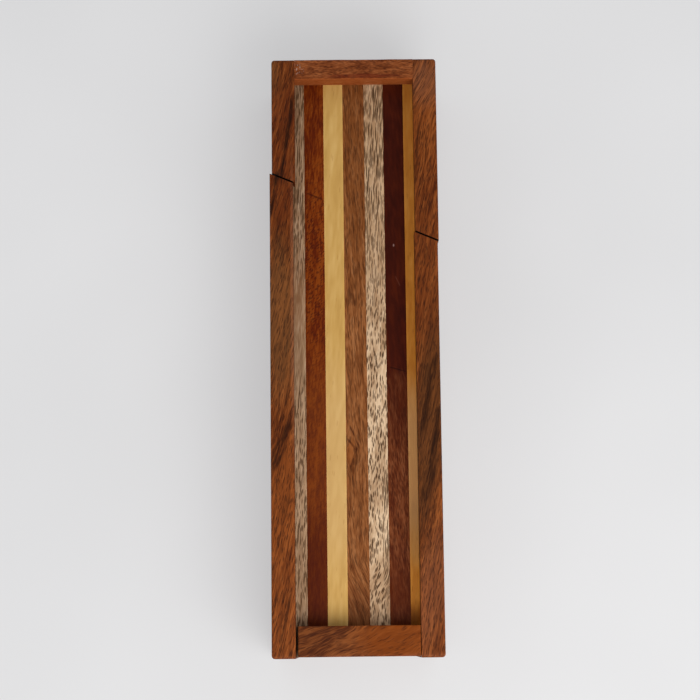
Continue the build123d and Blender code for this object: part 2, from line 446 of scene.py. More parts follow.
def grain_place(finish, slant=0.0, sway=0.6, bends=(), knots=()):
    """Where a point lies in the grain. The grain sways by some millimetres, steps sideways over each
    bend (y from, y to, shift), spreads round each knot (x, y, half width, half length, strength)
    and runs at a slant to the board, in degrees clockwise from above."""
    place = finish.place()
    x, y, z = finish.parts(place)
    drift = finish.noise(finish.fitted(place, SWAY_MM), 2.0)
    x = finish.sum("MULTIPLY_ADD", finish.sum("SUBTRACT", drift, 0.5), 2 * sway, x)
    for start, stop, shift in bends:
        x = finish.sum("ADD", x, finish.soft(y, start, stop, 0.0, shift))
    for knot_x, knot_y, half_width, half_length, strength in knots:
        local = finish.fitted(place, (half_width, half_length, ANY_DEPTH_MM), (knot_x, knot_y, 0))
        reach = finish.node("ShaderNodeVectorMath", {0: local}, operation="LENGTH").outputs["Value"]
        square = finish.sum("MULTIPLY", reach, reach)
        pull = finish.sum("EXPONENT", finish.sum("MULTIPLY", square, -1.0))
        aside = finish.sum("MULTIPLY", finish.parts(local)[0], half_width * strength)
        x = finish.sum("SUBTRACT", x, finish.sum("MULTIPLY", aside, pull))
    return finish.fitted(finish.joined(x, y, z), (1, 1, 1), turn=-slant)


def cross_grain(finish, slant, sway):
    """Grain that runs from left to right, swaying to and fro along the box."""
    place = finish.place()
    drift = finish.noise(finish.fitted(place, CROSS_SWAY_MM), 2.0)
    x, y, z = finish.parts(place)
    y = finish.sum("MULTIPLY_ADD", finish.sum("SUBTRACT", drift, 0.5), 2 * sway, y)
    return finish.fitted(finish.joined(x, y, z), (1, 1, 1), turn=90.0 - slant)


print("grain can sway, bend and flow round a knot")

# %% [markdown]
# Pores, areas and veins are masks: numbers from 0 to 1 that say how much of a second colour shows.
# Pores come from the Voronoi texture, which scatters one point into each cell of a stretched grid.

# %% Pores, lines, patches and veins
DASH_CORE, DASH_RIM = 0.7, 1.2
LINE_EDGE = 0.06
RAGGED_MM = 1.6, 12, 1.6
WOBBLE_MM = 2.5, 14, 2.5
VEIN_FIBRE_MM = 0.8, 6, 0.8


def dashes(finish, grain, width, length, share, size=0.34):
    """Pores: one stretched cell in so many (share) holds a dark dash in its middle."""
    cells = finish.node(
        "ShaderNodeTexVoronoi",
        {"Vector": finish.fitted(grain, (width, length, width)), "Scale": 1.0, "Randomness": 1.0},
    )
    dash = finish.soft(cells.outputs["Distance"], size * DASH_CORE, size * DASH_RIM, 1.0, 0.0)
    chosen = finish.sum("GREATER_THAN", finish.parts(cells.outputs["Color"])[0], 1 - share)
    return finish.sum("MULTIPLY", dash, chosen)


def dark_lines(finish, grain, width, length, rarity):
    """Thin lines along the grain, where stretched noise rises above a level; a higher one is rarer."""
    value = finish.noise(finish.fitted(grain, (width, length, width)), 2.0, 0.5)
    return finish.soft(value, rarity, rarity + LINE_EDGE)


def patch(finish, centre, half_size, turn=0.0, ragged=0.5, blur=0.5):
    """A soft-edged area: 1 inside an ellipse of the given half sizes, 0 outside, with a ragged rim."""
    place = finish.place()
    local = finish.fitted(place, (*half_size, ANY_DEPTH_MM), (*centre, 0), turn)
    reach = finish.node("ShaderNodeVectorMath", {0: local}, operation="LENGTH").outputs["Value"]
    rough = finish.noise(finish.fitted(place, RAGGED_MM, turn=turn), 3.0)
    reach = finish.sum("MULTIPLY_ADD", finish.sum("SUBTRACT", rough, 0.5), ragged, reach)
    return finish.soft(reach, 1 - blur, 1 + blur, 1.0, 0.0)


def vein(finish, start, end, half_width, waver=0.7):
    """A dark line in the wood from start to end, fading at its edges and ends, never quite straight."""
    start, end = np.array(start), np.array(end)
    half_length = float(np.linalg.norm(end - start) / 2)
    turn = math.degrees(math.atan2(start[0] - end[0], end[1] - start[1]))
    place = finish.place()
    centre = (*((start + end) / 2).tolist(), 0)
    local = finish.fitted(place, (half_width, half_length, ANY_DEPTH_MM), centre, turn)
    aside, ahead, _ = finish.parts(local)
    wobble = finish.noise(finish.fitted(place, WOBBLE_MM, turn=turn), 3.0)
    aside = finish.sum("MULTIPLY_ADD", finish.sum("SUBTRACT", wobble, 0.5), 4 * waver, aside)
    line = finish.soft(finish.sum("ABSOLUTE", aside), 0.35, 1.1, 1.0, 0.0)
    line = finish.sum("MULTIPLY", line, finish.soft(finish.sum("ABSOLUTE", ahead), 0.7, 1.05, 1.0, 0.0))
    fibres = finish.noise(finish.fitted(place, VEIN_FIBRE_MM, turn=turn), 1.0)
    return finish.sum("MULTIPLY", line, finish.soft(fibres, 0.3, 0.55, 0.4, 1.0))


print("pores, lines, patches and veins are ready")

# %% [markdown]
# The last helpers put a wood together. The streaks choose a colour between deep, body and pale; the
# pores are laid over it in their own colour and sink into the surface; and the arris, where hands
# rubbed the oil away, comes out a little paler and smoother. The oil itself is the shader's satin
# gloss, kept low because the wood drank most of it. Oiling also reports how many nodes a wood took.

# %% Oiled wood
BAND, STREAK, FIBRE = 0.4, 0.35, 0.25
SPREAD = 0.11
RUBBED_MM = 1.5, 6, 1.5
RUBBED_SHARE = 0.35
RUBBED_TONE = (1.35, 1.3, 1.25, 1.0)
RELIEF_DEPTH = 0.12 * MM
OIL_IOR = 1.46
OIL_SHEEN = 0.1


def streaky(finish, grain, colours, width, length, contrast=1.0):
    """Colour of the streaks, deep to body to pale, and the streak value itself: a weighted sum of
    bands three times the size, streaks of width by length millimetres, and fibres of half the size."""
    value = 0.0
    for share, size in ((BAND, 3.0), (STREAK, 1.0), (FIBRE, 0.5)):
        layer = finish.noise(finish.fitted(grain, (width * size, length * size, width * size)), 1.0)
        value = finish.sum("MULTIPLY_ADD", layer, share, value)
    spread = SPREAD / contrast
    deep, body, pale = colours
    colour = finish.ramp(value, [(0.5 - spread, deep), (0.5, body), (0.5 + spread, pale)])
    return colour, value


def oil(finish, value, pores=None, gloss=0.45, relief=0.3):
    """Finishes a wood: worn arrises, roughness from the streaks, and relief from streaks and pores."""
    worn = finish.node("ShaderNodeAttribute", {}, attribute_name="arris").outputs["Fac"]
    patchy = finish.noise(finish.fitted(finish.place(), RUBBED_MM), 3.0)
    rubbed = finish.sum("MULTIPLY", worn, finish.soft(patchy, 0.35, 0.65, 0.0, RUBBED_SHARE))
    paler = finish.mix(1.0, finish.colour, RUBBED_TONE, "MULTIPLY")
    colour = finish.mix(rubbed, finish.colour, paler)
    rough = finish.soft(value, 0.3, 0.7, gloss + 0.1, gloss - 0.05)
    rough = finish.sum("MULTIPLY_ADD", rubbed, -0.2, rough)
    height = finish.sum("MULTIPLY", value, 0.5)
    if pores is not None:
        height = finish.sum("SUBTRACT", height, pores)
        rough = finish.sum("MULTIPLY_ADD", pores, 0.25, rough)
    hollows = {"Height": height, "Strength": relief, "Distance": RELIEF_DEPTH}
    bump = finish.node("ShaderNodeBump", hollows)
    shader = finish.node("ShaderNodeBsdfPrincipled", {
        "Base Color": colour, "Roughness": rough, "Normal": bump.outputs["Normal"],
        "IOR": OIL_IOR, "Specular IOR Level": OIL_SHEEN,
    })
    finish.node("ShaderNodeOutputMaterial", {"Surface": shader.outputs["BSDF"]})
    print("oiled wood", finish.material.name, "has", len(finish.tree.nodes), "nodes")


print("woods are streaked, then oiled")

# %% [markdown]
# ## Rails of the case
# The side rails and the lid's head are sheesham, a red-brown wood with olive and nearly black
# streaks. The boards were sawn a little across the grain, so the streaks cross the rails at a
# slant. The left rail is olive in its far half and warm orange nearer to us. Its stub at the head
# comes from the same board: one black vein runs across the saw cut from the one into the other.

# %% Left rail and left stub
CUT_ANGLE_DEG = 22.9
CUT_AT_CENTRE_MM = 61.1
RAIL_INNER_MM = 25.0, 25.4
sheesham = [tint(70, 28, 6), tint(110, 53, 18), tint(146, 81, 37)]
OLIVE = tint(106, 72, 40)
DARK_OLIVE = tint(80, 48, 22)
WARM = tint(142, 74, 28)
DEEP_RED = tint(92, 38, 12)
PINK = tint(152, 98, 68)
PLAIN_RED = tint(112, 54, 20)
NEARLY_BLACK = tint(30, 10, 3)


def sheesham_rail(name, slant, bends, areas, veins):
    """Red-brown streaks crossed by thin dark lines and short pores, with areas of other tones and
    single dark veins. An area is (colour, strength, centre, half size, turn). A thin band along the
    slanted cut, where the saw kerf opens, is painted nearly black as painted shade, apart from the
    sliver that stands proud of the rail."""
    finish = Finish(name)
    grain = grain_place(finish, slant, 0.9, bends)
    finish.colour, value = streaky(finish, grain, sheesham, 0.5, 9, 0.9)
    for tone, strength, *area in areas:
        finish.lay(patch(finish, *area), strength, tone)
    lines = dark_lines(finish, grain, 0.45, 10, 0.54)
    finish.lay(lines, 0.42, NEARLY_BLACK)
    pores = dashes(finish, grain, 0.5, 3.4, 0.75, 0.37)
    finish.lay(pores, 0.6, NEARLY_BLACK)
    for start, end, half_width, strength in veins:
        finish.lay(vein(finish, start, end, half_width), strength, NEARLY_BLACK)
    # Painted shade: a thin band along the slanted cut, where the kerf is, goes nearly black.
    place = finish.place()
    from_cut = finish.fitted(place, (1, 1, 1), (0, CUT_AT_CENTRE_MM, 0), -CUT_ANGLE_DEG)
    kerf_shade = finish.soft(finish.sum("ABSOLUTE", finish.parts(from_cut)[1]), 0.3, 0.5, 1.0, 0.0)
    inside = finish.soft(finish.sum("ABSOLUTE", finish.parts(place)[0]), *RAIL_INNER_MM)
    kerf_shade = finish.sum("MULTIPLY", kerf_shade, inside)
    finish.lay(kerf_shade, 0.95, tint(16, 6, 3))
    oil(finish, value, pores)
    return finish


left_rail_wood = sheesham_rail(
    "sheesham_left",
    12.0,
    [],
    [
        (OLIVE, 0.5, (-30.5, 14), (7, 32), 0.0),
        (OLIVE, 0.4, (-34, 117), (3.5, 9), 0.0),
        (DEEP_RED, 0.5, (-29, 104), (7, 14), 0.0),
        (DEEP_RED, 0.55, (-30, 72), (7, 17), 0.0),
        (WARM, 0.45, (-29.5, -60), (6, 28), -12.0),
        (WARM, 0.25, (-30, -112), (7, 24), 0.0),
        # Painted highlight: a pale pink stripe along the inner top edge, where light from the right
        # falls.
        (PINK, 0.35, (-25.7, 22), (0.8, 54), 0.0),
    ],
    [
        ((-30.6, 71), (-24.4, 112), 0.95, 0.85),
        ((-35.2, 56), (-31.0, 78), 1.1, 0.8),
        ((-35.0, -50), (-26.6, -28), 2.2, 0.75),
        ((-33.5, -84), (-27.0, -58), 0.6, 0.4),
        ((-31.5, -120), (-26.5, -96), 0.6, 0.6),
    ],
)

# %% [markdown]
# The right rail is plainer by the saw cut, then crossed by olive and black streaks, and paler and
# pinker towards the near end. The right stub has fine slanted lines, steeper in its far corner.

# %% Right rail and right stub
right_rail_wood = sheesham_rail(
    "sheesham_right",
    11.0,
    [(98, 126, -7.0)],
    [
        (DARK_OLIVE, 0.65, (30.5, -27), (7, 47), -6.0),
        (PLAIN_RED, 0.45, (30, 34), (7, 30), 0.0),
        (WARM, 0.15, (31, -102), (7, 26), 0.0),
        (PINK, 0.2, (29.5, -98), (6, 24), -10.0),
        (PINK, 0.35, (31, 114), (6, 10), 0.0),
        (WARM, 0.3, (30.5, 96), (7, 16), 0.0),
    ],
    [
        ((26.5, -36), (33.5, 0), 1.6, 0.7),
        ((27.0, -64), (34.5, -30), 1.9, 0.7),
        ((30.5, -44), (35.0, -22), 1.2, 0.6),
        ((26.0, 70), (28.2, 100), 0.6, 0.5),
        ((30.0, 78), (31.5, 92), 0.4, 0.5),
    ],
)

# %% [markdown]
# The head rail and the end block lie across the box, so their grain runs from left to right. The
# head rail is redder and fine, with a darker red band and a few specks of old glue by the left joint;
# its inner face, which faces the near end and the lamp, is painted lighter orange as painted light.
# The end block is cut from a piece with a slanting figure, and turns orange towards its right end.

# %% Head rail and end block
HEAD_FACE_MM = 116.5, 116.7
head_wood = Finish("sheesham_head")
head_grain = cross_grain(head_wood, 0.0, 0.8)
head_tones = [tint(88, 39, 14), tint(124, 64, 30), tint(150, 86, 47)]
head_wood.colour, head_streak = streaky(head_wood, head_grain, head_tones, 0.6, 2.6, 0.8)
red_band = patch(head_wood, (4, 117.6), (15, 0.9))
head_wood.lay(red_band, 0.6, tint(98, 30, 12))
head_pores = dashes(head_wood, head_grain, 0.52, 2.2, 0.8, 0.37)
head_wood.lay(head_pores, 0.5, tint(60, 24, 8))
# Painted light: the inner face, lit from the near end, is painted lighter orange.
along_box = head_wood.parts(head_wood.place())[1]
painted_light_face = head_wood.soft(along_box, *HEAD_FACE_MM, 1.0, 0.0)
head_wood.lay(painted_light_face, 0.6, tint(160, 82, 36))
glue_specks = dashes(head_wood, head_wood.place(), 0.8, 0.8, 0.7, 0.34)
glue_specks = head_wood.sum("MULTIPLY", glue_specks, patch(head_wood, (-23.2, 120.8), (2.4, 2.2)))
head_wood.lay(glue_specks, 0.4, tint(214, 190, 176))
oil(head_wood, head_streak, head_pores)

block_wood = Finish("sheesham_block")
block_grain = cross_grain(block_wood, -25.0, 4.5)
block_tones = [tint(68, 29, 8), tint(100, 50, 19), tint(130, 72, 33)]
block_wood.colour, block_streak = streaky(block_wood, block_grain, block_tones, 0.8, 8, 1.1)
dark_third = patch(block_wood, (-17, -116), (11, 9))
block_wood.lay(dark_third, 0.3, tint(70, 31, 9))
orange_end = patch(block_wood, (17, -118), (16, 9))
block_wood.lay(orange_end, 0.65, tint(126, 58, 4))
block_pores = dashes(block_wood, block_grain, 0.52, 3.6, 0.7, 0.36)
block_wood.lay(block_pores, 0.5, tint(46, 18, 6))
oil(block_wood, block_streak, block_pores)

# %% [markdown]
# ## Seven strips
# Grey, russet, yellow, brown, speckled, dark and amber: each strip is another wood. We give every
# one its own cell, because each has a habit of its own.
#
# The grey strip is a bleached wood with long dark dashes at both ends and a plain stretch between.
# Beside the end block a narrow gap lets us look down on the two outer strips; there they are painted
# nearly black as painted shade, the shade of the deep gap.

# %% Grey strip
BLOCK_FAR_MM = -112.0
BLOCK_END_MM = 24.0, 24.4
STRIP_FACE_MM = 41.3, 41.45


def gap_shade_beside_block(finish):
    """Painted shade: 1 in the narrow gaps at the two ends of the end block, 0 where a strip lies open.
    """
    x, y, z = finish.parts(finish.place())
    near = finish.soft(y, BLOCK_FAR_MM - 0.4, BLOCK_FAR_MM, 1.0, 0.0)
    gap = finish.sum("MULTIPLY", near, finish.soft(finish.sum("ABSOLUTE", x), *BLOCK_END_MM))
    return finish.sum("MULTIPLY", gap, finish.soft(z, *STRIP_FACE_MM))


grey_wood = Finish("grey_strip")
grey_grain = grain_place(grey_wood, 4.0, 0.6)
grey_tones = [tint(136, 102, 73), tint(160, 126, 95), tint(182, 150, 120)]
grey_wood.colour, grey_streak = streaky(grey_wood, grey_grain, grey_tones, 1.0, 8)
dull_end = patch(grey_wood, (-24, 106), (20, 26))
grey_wood.lay(dull_end, 0.15, tint(124, 92, 66))
pale_half = patch(grey_wood, (-24, -52), (20, 40))
grey_wood.lay(pale_half, 0.35, tint(190, 156, 122))
grey_pores = dashes(grey_wood, grey_grain, 0.6, 4.0, 0.8, 0.38)
grey_lines = dark_lines(grey_wood, grey_grain, 0.42, 10, 0.54)
grey_pores = grey_wood.sum("MAXIMUM", grey_pores, grey_lines)
plain = patch(grey_wood, (-23, 12), (20, 20), 0.0, 0.6)
tanned = patch(grey_wood, (-24, 27), (20, 16))
grey_wood.lay(tanned, 0.3, tint(130, 79, 42))
grey_pores = grey_wood.sum("MULTIPLY", grey_pores, grey_wood.sum("MULTIPLY_ADD", plain, -0.85, 1.0))
grey_wood.lay(grey_pores, 0.8, tint(70, 45, 25))
# Painted shade: the grey strip goes nearly black in the dark gap beside the end block.
grey_wood.lay(gap_shade_beside_block(grey_wood), 0.7, NEARLY_BLACK)
oil(grey_wood, grey_streak, grey_pores)

# %% [markdown]
# The russet strip is smooth and even, with fine flecks that slant across the grain past its middle,
# one faint slanted line, and a darker near end.

# %% Russet strip
russet_wood = Finish("russet_strip")
russet_grain = grain_place(russet_wood, 3.0, 0.8)
russet_tones = [tint(90, 28, 2), tint(113, 45, 5), tint(130, 60, 14)]
russet_wood.colour, russet_streak = streaky(russet_wood, russet_grain, russet_tones, 0.9, 6, 1.25)
lighter_half = patch(russet_wood, (-16, -40), (20, 34))
russet_wood.lay(lighter_half, 0.4, tint(110, 55, 21))
fleck_grain = russet_wood.fitted(russet_grain, (1, 1, 1), turn=-40.0)
flecks = dashes(russet_wood, fleck_grain, 0.55, 1.7, 0.65, 0.46)
flecked = patch(russet_wood, (-16.5, 38), (20, 34), 0.0, 0.6)
flecked = russet_wood.sum("MULTIPLY_ADD", flecked, 0.6, 0.35)
flecks = russet_wood.sum("MULTIPLY", flecks, flecked)
russet_wood.lay(flecks, 0.75, tint(64, 18, 2))
slanted_line = vein(russet_wood, (-12.6, 66.2), (-20.3, 69.2), 0.5, 0.4)
russet_wood.lay(slanted_line, 0.8, tint(56, 14, 3))
dark_end = patch(russet_wood, (-16, -98), (20, 30))
russet_wood.lay(dark_end, 0.75, tint(72, 22, 4))
oil(russet_wood, russet_streak, flecks, 0.42, 0.15)

# %% [markdown]
# The yellow strip is like boxwood: very smooth, with a faint cloudy figure and hardly any pores.

# %% Yellow strip
yellow_wood = Finish("yellow_strip")
yellow_grain = grain_place(yellow_wood, 5.0, 1.2)
yellow_tones = [tint(184, 141, 74), tint(198, 156, 87), tint(211, 172, 105)]
yellow_wood.colour, yellow_streak = streaky(yellow_wood, yellow_grain, yellow_tones, 2.4, 14, 0.5)
paler_half = patch(yellow_wood, (-8, -48), (20, 40))
yellow_wood.lay(paler_half, 0.4, tint(206, 168, 116))
yellow_pores = dashes(yellow_wood, yellow_grain, 0.7, 4.0, 0.12)
yellow_wood.lay(yellow_pores, 0.3, tint(160, 112, 58))
oil(yellow_wood, yellow_streak, yellow_pores, 0.42, 0.12)

# %% [markdown]
# The brown strip in the middle has fine dark pores that flow round a small knot and turn aside
# near the end block. A knot pushes the grain apart, so the place itself is pushed before the noise
# is read.

# %% Brown strip
brown_wood = Finish("brown_strip")
brown_grain = grain_place(brown_wood, -3.0, 0.9, [(-112, -82, 8.0)], [(-1.6, -41, 4.2, 9.0, 0.8)])
brown_tones = [tint(92, 45, 14), tint(134, 79, 40), tint(164, 107, 64)]
brown_wood.colour, brown_streak = streaky(brown_wood, brown_grain, brown_tones, 0.55, 6, 0.65)
darker_end = patch(brown_wood, (0, 92), (20, 52))
brown_wood.lay(darker_end, 0.35, tint(104, 52, 12))
# Painted shade: the brown strip darkens just beside the end block, where the block's shadow falls.
painted_block_shade = patch(brown_wood, (0, -109), (20, 11))
brown_wood.lay(painted_block_shade, 0.45, tint(92, 46, 18))
eye = patch(brown_wood, (-2.0, -41), (2.0, 5.0), 0.0, 0.4, 0.4)
brown_wood.lay(eye, 0.5, tint(146, 82, 36))
brown_lines = dark_lines(brown_wood, brown_grain, 0.5, 10, 0.56)
brown_dashes = dashes(brown_wood, brown_grain, 0.5, 4.4, 0.7, 0.37)
brown_pores = brown_wood.sum("MAXIMUM", brown_lines, brown_dashes)
brown_wood.lay(brown_pores, 0.6, tint(54, 24, 7))
eye_rim = [((-3.8, -35.0), (0.7, -40.4)), ((0.7, -38.8), (-2.6, -48.0)), ((-2.9, -29.6), (1.3, -39.2))]
for start, end in eye_rim:
    rim_line = vein(brown_wood, start, end, 0.5, 0.8)
    brown_wood.lay(rim_line, 0.7, tint(62, 24, 6))
oil(brown_wood, brown_streak, brown_pores)

# %% [markdown]
# The speckled strip is pale with dark-brown dashes all over. At the far end, and along part of the
# right edge, they run together into long lines, and near the block they swirl.

# %% Speckled strip
speckled_wood = Finish("speckled_strip")
speckled_grain = grain_place(speckled_wood, 2.0, 0.8, [(-104, -86, -4.0)], [(9.5, -94, 5.0, 7.0, 0.3)])
speckled_tones = [tint(172, 137, 104), tint(200, 167, 132), tint(222, 191, 156)]
speckled_wood.colour, speckled_streak = streaky(speckled_wood, speckled_grain, speckled_tones, 1.4, 7)
short_dashes = dashes(speckled_wood, speckled_grain, 0.5, 3.0, 1.0, 0.44)
long_lines = dashes(speckled_wood, speckled_grain, 0.55, 8.0, 1.0, 0.44)
far_lines = patch(speckled_wood, (9, 104), (20, 74), 0.0, 0.6)
edge_lines = patch(speckled_wood, (12.3, -74), (1.8, 30))
lined = speckled_wood.sum("MAXIMUM", far_lines, edge_lines)
fewer = speckled_wood.sum("MULTIPLY_ADD", lined, -0.4, 1.0)
open_dashes = speckled_wood.sum("MULTIPLY", short_dashes, fewer)
near_end = patch(speckled_wood, (9, -108), (20, 24))
speckled_wood.lay(near_end, 0.35, tint(156, 118, 84))
far_half = patch(speckled_wood, (9, 72), (20, 56))
speckled_wood.lay(far_half, 0.5, tint(168, 128, 90))
closed_lines = speckled_wood.sum("MULTIPLY", long_lines, lined)
speckled_pores = speckled_wood.sum("MAXIMUM", open_dashes, closed_lines)
speckled_wood.lay(speckled_pores, 0.92, tint(66, 41, 21))
oil(speckled_wood, speckled_streak, speckled_pores)

# %% [markdown]
# The dark strip is maroon, almost black at the far end. Past the middle a curved edge in the wood
# separates it from a red-brown part with fine lines. A pale nick and a thin scratch mark its surface.

# %% Dark strip
dark_wood = Finish("dark_strip")
dark_grain = grain_place(dark_wood, -6.0, 0.8)
dark_tones = [tint(50, 10, 2), tint(60, 16, 5), tint(72, 24, 9)]
dark_wood.colour, dark_streak = streaky(dark_wood, dark_grain, dark_tones, 2.0, 9, 0.8)
red_tones = [tint(78, 30, 9), tint(102, 49, 22), tint(124, 68, 38)]
red_colour, _ = streaky(dark_wood, dark_grain, red_tones, 0.65, 5, 0.9)
reddened = patch(dark_wood, (17.5, -66), (22, 58), 0.0, 0.15, 0.04)
away_from_edge = dark_wood.soft(dark_wood.parts(dark_wood.place())[1], -52.0, -12.0, 1.0, 0.4)
reddened = dark_wood.sum("MULTIPLY", reddened, away_from_edge)
dark_wood.colour = dark_wood.mix(reddened, dark_wood.colour, red_colour)
red_pores = dark_wood.sum("MULTIPLY", reddened, dashes(dark_wood, dark_grain, 0.5, 3.0, 0.9, 0.44))
dark_wood.lay(red_pores, 0.5, tint(44, 12, 4))
dusky_end = patch(dark_wood, (17.5, -108), (20, 22))
dark_wood.lay(dusky_end, 0.6, tint(76, 24, 0))
dark_edge = vein(dark_wood, (14.0, -5.6), (21.6, -7.6), 0.4, 0.3)
dark_wood.lay(dark_edge, 0.7, tint(30, 5, 2))
nick = patch(dark_wood, (16.8, 46.2), (0.28, 0.55), 0.0, 0.1, 0.5)
dark_wood.lay(nick, 0.4, tint(196, 160, 150))
scratch = vein(dark_wood, (17.2, 33.0), (19.4, 28.6), 0.3, 1.0)
dark_wood.lay(scratch, 0.12, tint(150, 100, 80))
oil(dark_wood, dark_streak, None, 0.4, 0.15)

# %% [markdown]
# The amber strip is a smooth ochre wood, browner at the far end and greyer in the near half; its corner
# by the block is darkened as painted shade. A paler band runs along it beside the rail, and makes up
# for the shade there.

# %% Amber strip
PALER_BAND = (1.6, 1.6, 1.6, 1.0)
amber_wood = Finish("amber_strip")
amber_grain = grain_place(amber_wood, 2.0, 0.8)
amber_tones = [tint(176, 108, 37), tint(187, 120, 45), tint(198, 133, 57)]
amber_wood.colour, amber_streak = streaky(amber_wood, amber_grain, amber_tones, 2.4, 10, 0.7)
greyed = patch(amber_wood, (23.4, -46), (20, 30))
amber_wood.lay(greyed, 0.65, tint(189, 143, 96))
browner_end = patch(amber_wood, (24, 100), (20, 44))
amber_wood.lay(browner_end, 0.3, tint(142, 86, 34))
amber_dusk = patch(amber_wood, (24, -74), (20, 13))
amber_wood.lay(amber_dusk, 0.3, tint(120, 90, 60))
# Painted shade: the corner between the end block and the right rail is darkened.
painted_corner_shade = patch(amber_wood, (24, -114), (20, 9))
amber_wood.lay(painted_corner_shade, 0.66, tint(90, 34, 0))
across_amber = amber_wood.parts(amber_wood.place())[0]
by_rail = amber_wood.soft(across_amber, 22.0, 26.5)
by_rail = amber_wood.sum("MULTIPLY", by_rail, amber_wood.soft(across_amber, 25.4, 27.4, 1.0, 0.0))
paler_amber = amber_wood.mix(1.0, amber_wood.colour, PALER_BAND, "MULTIPLY")
amber_wood.colour = amber_wood.mix(by_rail, amber_wood.colour, paler_amber)
amber_pores = dashes(amber_wood, amber_grain, 0.8, 4.0, 0.15)
amber_wood.lay(amber_pores, 0.35, tint(130, 78, 28))
# Painted shade: the amber strip goes nearly black in the dark gap beside the end block.
amber_wood.lay(gap_shade_beside_block(amber_wood), 0.7, NEARLY_BLACK)
oil(amber_wood, amber_streak, amber_pores, 0.42, 0.15)

# %% [markdown]
# ## Rails and stubs
# The rails have an L-shaped profile: a lip reaches over the edge of the panel and guides it. Their
# far end is the slanted saw cut, so there the station has a slope. The stubs on the other side of
# the cut are the same bar, pushed a hair to the right with the lid, and their rebate stops where the
# panel ends. Only the outer and the top edges were within reach of the sandpaper.

# %% Side rails and head stubs
CUT_ANGLE = math.radians(CUT_ANGLE_DEG)
CUT_SLOPE = -math.tan(CUT_ANGLE)
CUT_AT_CENTRE = CUT_AT_CENTRE_MM * MM
HALF_KERF = 0.275 * MM / math.cos(CUT_ANGLE)
PANEL_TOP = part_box("grey_strip")[1].z
PANEL_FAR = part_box("grey_strip")[1].y
EASED = 0.8 * MM
CRISP = 0.3 * MM
SAWN = 0.12 * MM
WANDER = 0.3
GROOVE_PLAY = 0.3 * MM
GROOVE_SIDE = 30.1 * MM
SLIVER = 0.5 * EASED
RAIL_RADII = [SAWN, EASED, CRISP, SAWN, SAWN, SAWN]
HEAD_RADII = [SAWN, EASED, SAWN, SAWN, SAWN, SAWN]
REACHED_EDGES = [1.0, 0.65, 0.1, 0.0, 0.0, 0.0]
CORNER = 1.3 * MM
STUB_SEED = 2


def rebated(node, shoulder, seat):
    """Corners of an L: up the outer face, over the top, down the lip to the seat of the panel, in to
    the shoulder and down to the wall. The outer face is the one farther from the box's middle."""
    low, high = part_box(node)
    outer, inner = (low.x, high.x) if shoulder < 0 else (high.x, low.x)
    return [
        (outer, low.z), (outer, high.z), (inner, high.z),
        (inner, seat), (shoulder, seat), (shoulder, low.z),
    ]


rail_sides = [
    ("left", left_rail_wood, -GROOVE_SIDE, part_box("grey_strip")[0].x),
    ("right", right_rail_wood, GROOVE_SIDE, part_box("amber_strip")[1].x),
]
for seed, (side, finish, groove_side, panel_side) in enumerate(rail_sides):
    rail = f"{side}_rail"
    profile = rebated(rail, groove_side, PANEL_TOP + GROOVE_PLAY)
    stations = [
        (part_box(rail)[0].y, 0.0, profile),
        (CUT_AT_CENTRE - HALF_KERF, CUT_SLOPE, profile),
    ]
    rows = carried_board(stations, RAIL_RADII, (CORNER, SAWN), REACHED_EDGES, WANDER, seed)
    fit_board(board_object(f"{side}_side_rail", *rows), rail, "case", finish)

    stub = f"head_{side}_stub"
    stub_low, stub_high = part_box(stub)
    profile = rebated(stub, panel_side, PANEL_TOP)
    stub_inner = stub_high.x - SLIVER if side == "left" else stub_low.x + SLIVER
    closed = rebated(stub, stub_inner, stub_low.z + SLIVER)
    stations = [
        (CUT_AT_CENTRE + HALF_KERF, CUT_SLOPE, profile),
        (PANEL_FAR, 0.0, profile),
        (PANEL_FAR + STEP_RUN, 0.0, closed),
        (stub_high.y, 0.0, closed),
    ]
    rows = carried_board(stations, HEAD_RADII, (SAWN, CORNER), REACHED_EDGES, WANDER, STUB_SEED + seed)
    fit_board(board_object(f"{side}_head_stub", *rows), stub, "lid", finish)

# %% [markdown]
# The head rail and the end block run crosswise, so the same maker carries their profile from left to
# right. The head rail is rebated for the far end of the panel; the end block is a plain bar with
# all its top edges eased.

# %% Head rail and end block boards
head_low, head_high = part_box("head_rail")
head_corners = [
    (head_high.y, head_low.z), (head_high.y, head_high.z), (head_low.y, head_high.z),
    (head_low.y, PANEL_TOP), (PANEL_FAR, PANEL_TOP), (PANEL_FAR, head_low.z),
]
TIGHT = 0.03 * MM
HEAD_SEED = 5
BLOCK_SEED = 6
head_stations = [(head_low.x, 0.0, head_corners), (head_high.x, 0.0, head_corners)]
head_rows = carried_board(head_stations, HEAD_RADII, (TIGHT, TIGHT), REACHED_EDGES, WANDER, HEAD_SEED)
fit_board(board_object("far_head_rail", *head_rows, "X"), "head_rail", "lid", head_wood)

block_low, block_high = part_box("end_block")
block_corners = [
    (block_low.y, block_low.z), (block_high.y, block_low.z),
    (block_high.y, block_high.z), (block_low.y, block_high.z),
]
block_radii = [SAWN, SAWN, 0.6 * EASED, EASED]
block_easing = [0.0, 0.3, 1.0, 0.3]
block_rims = CRISP, CRISP
block_stations = [(block_low.x, 0.0, block_corners), (block_high.x, 0.0, block_corners)]
block_rows = carried_board(block_stations, block_radii, block_rims, block_easing, WANDER, BLOCK_SEED)
fit_board(board_object("near_end_block", *block_rows, "X"), "end_block", "lid", block_wood)

# %% [markdown]
# The strips are plain bars with barely eased edges, so a hair-fine groove shows at each glue line
# when the light is low.

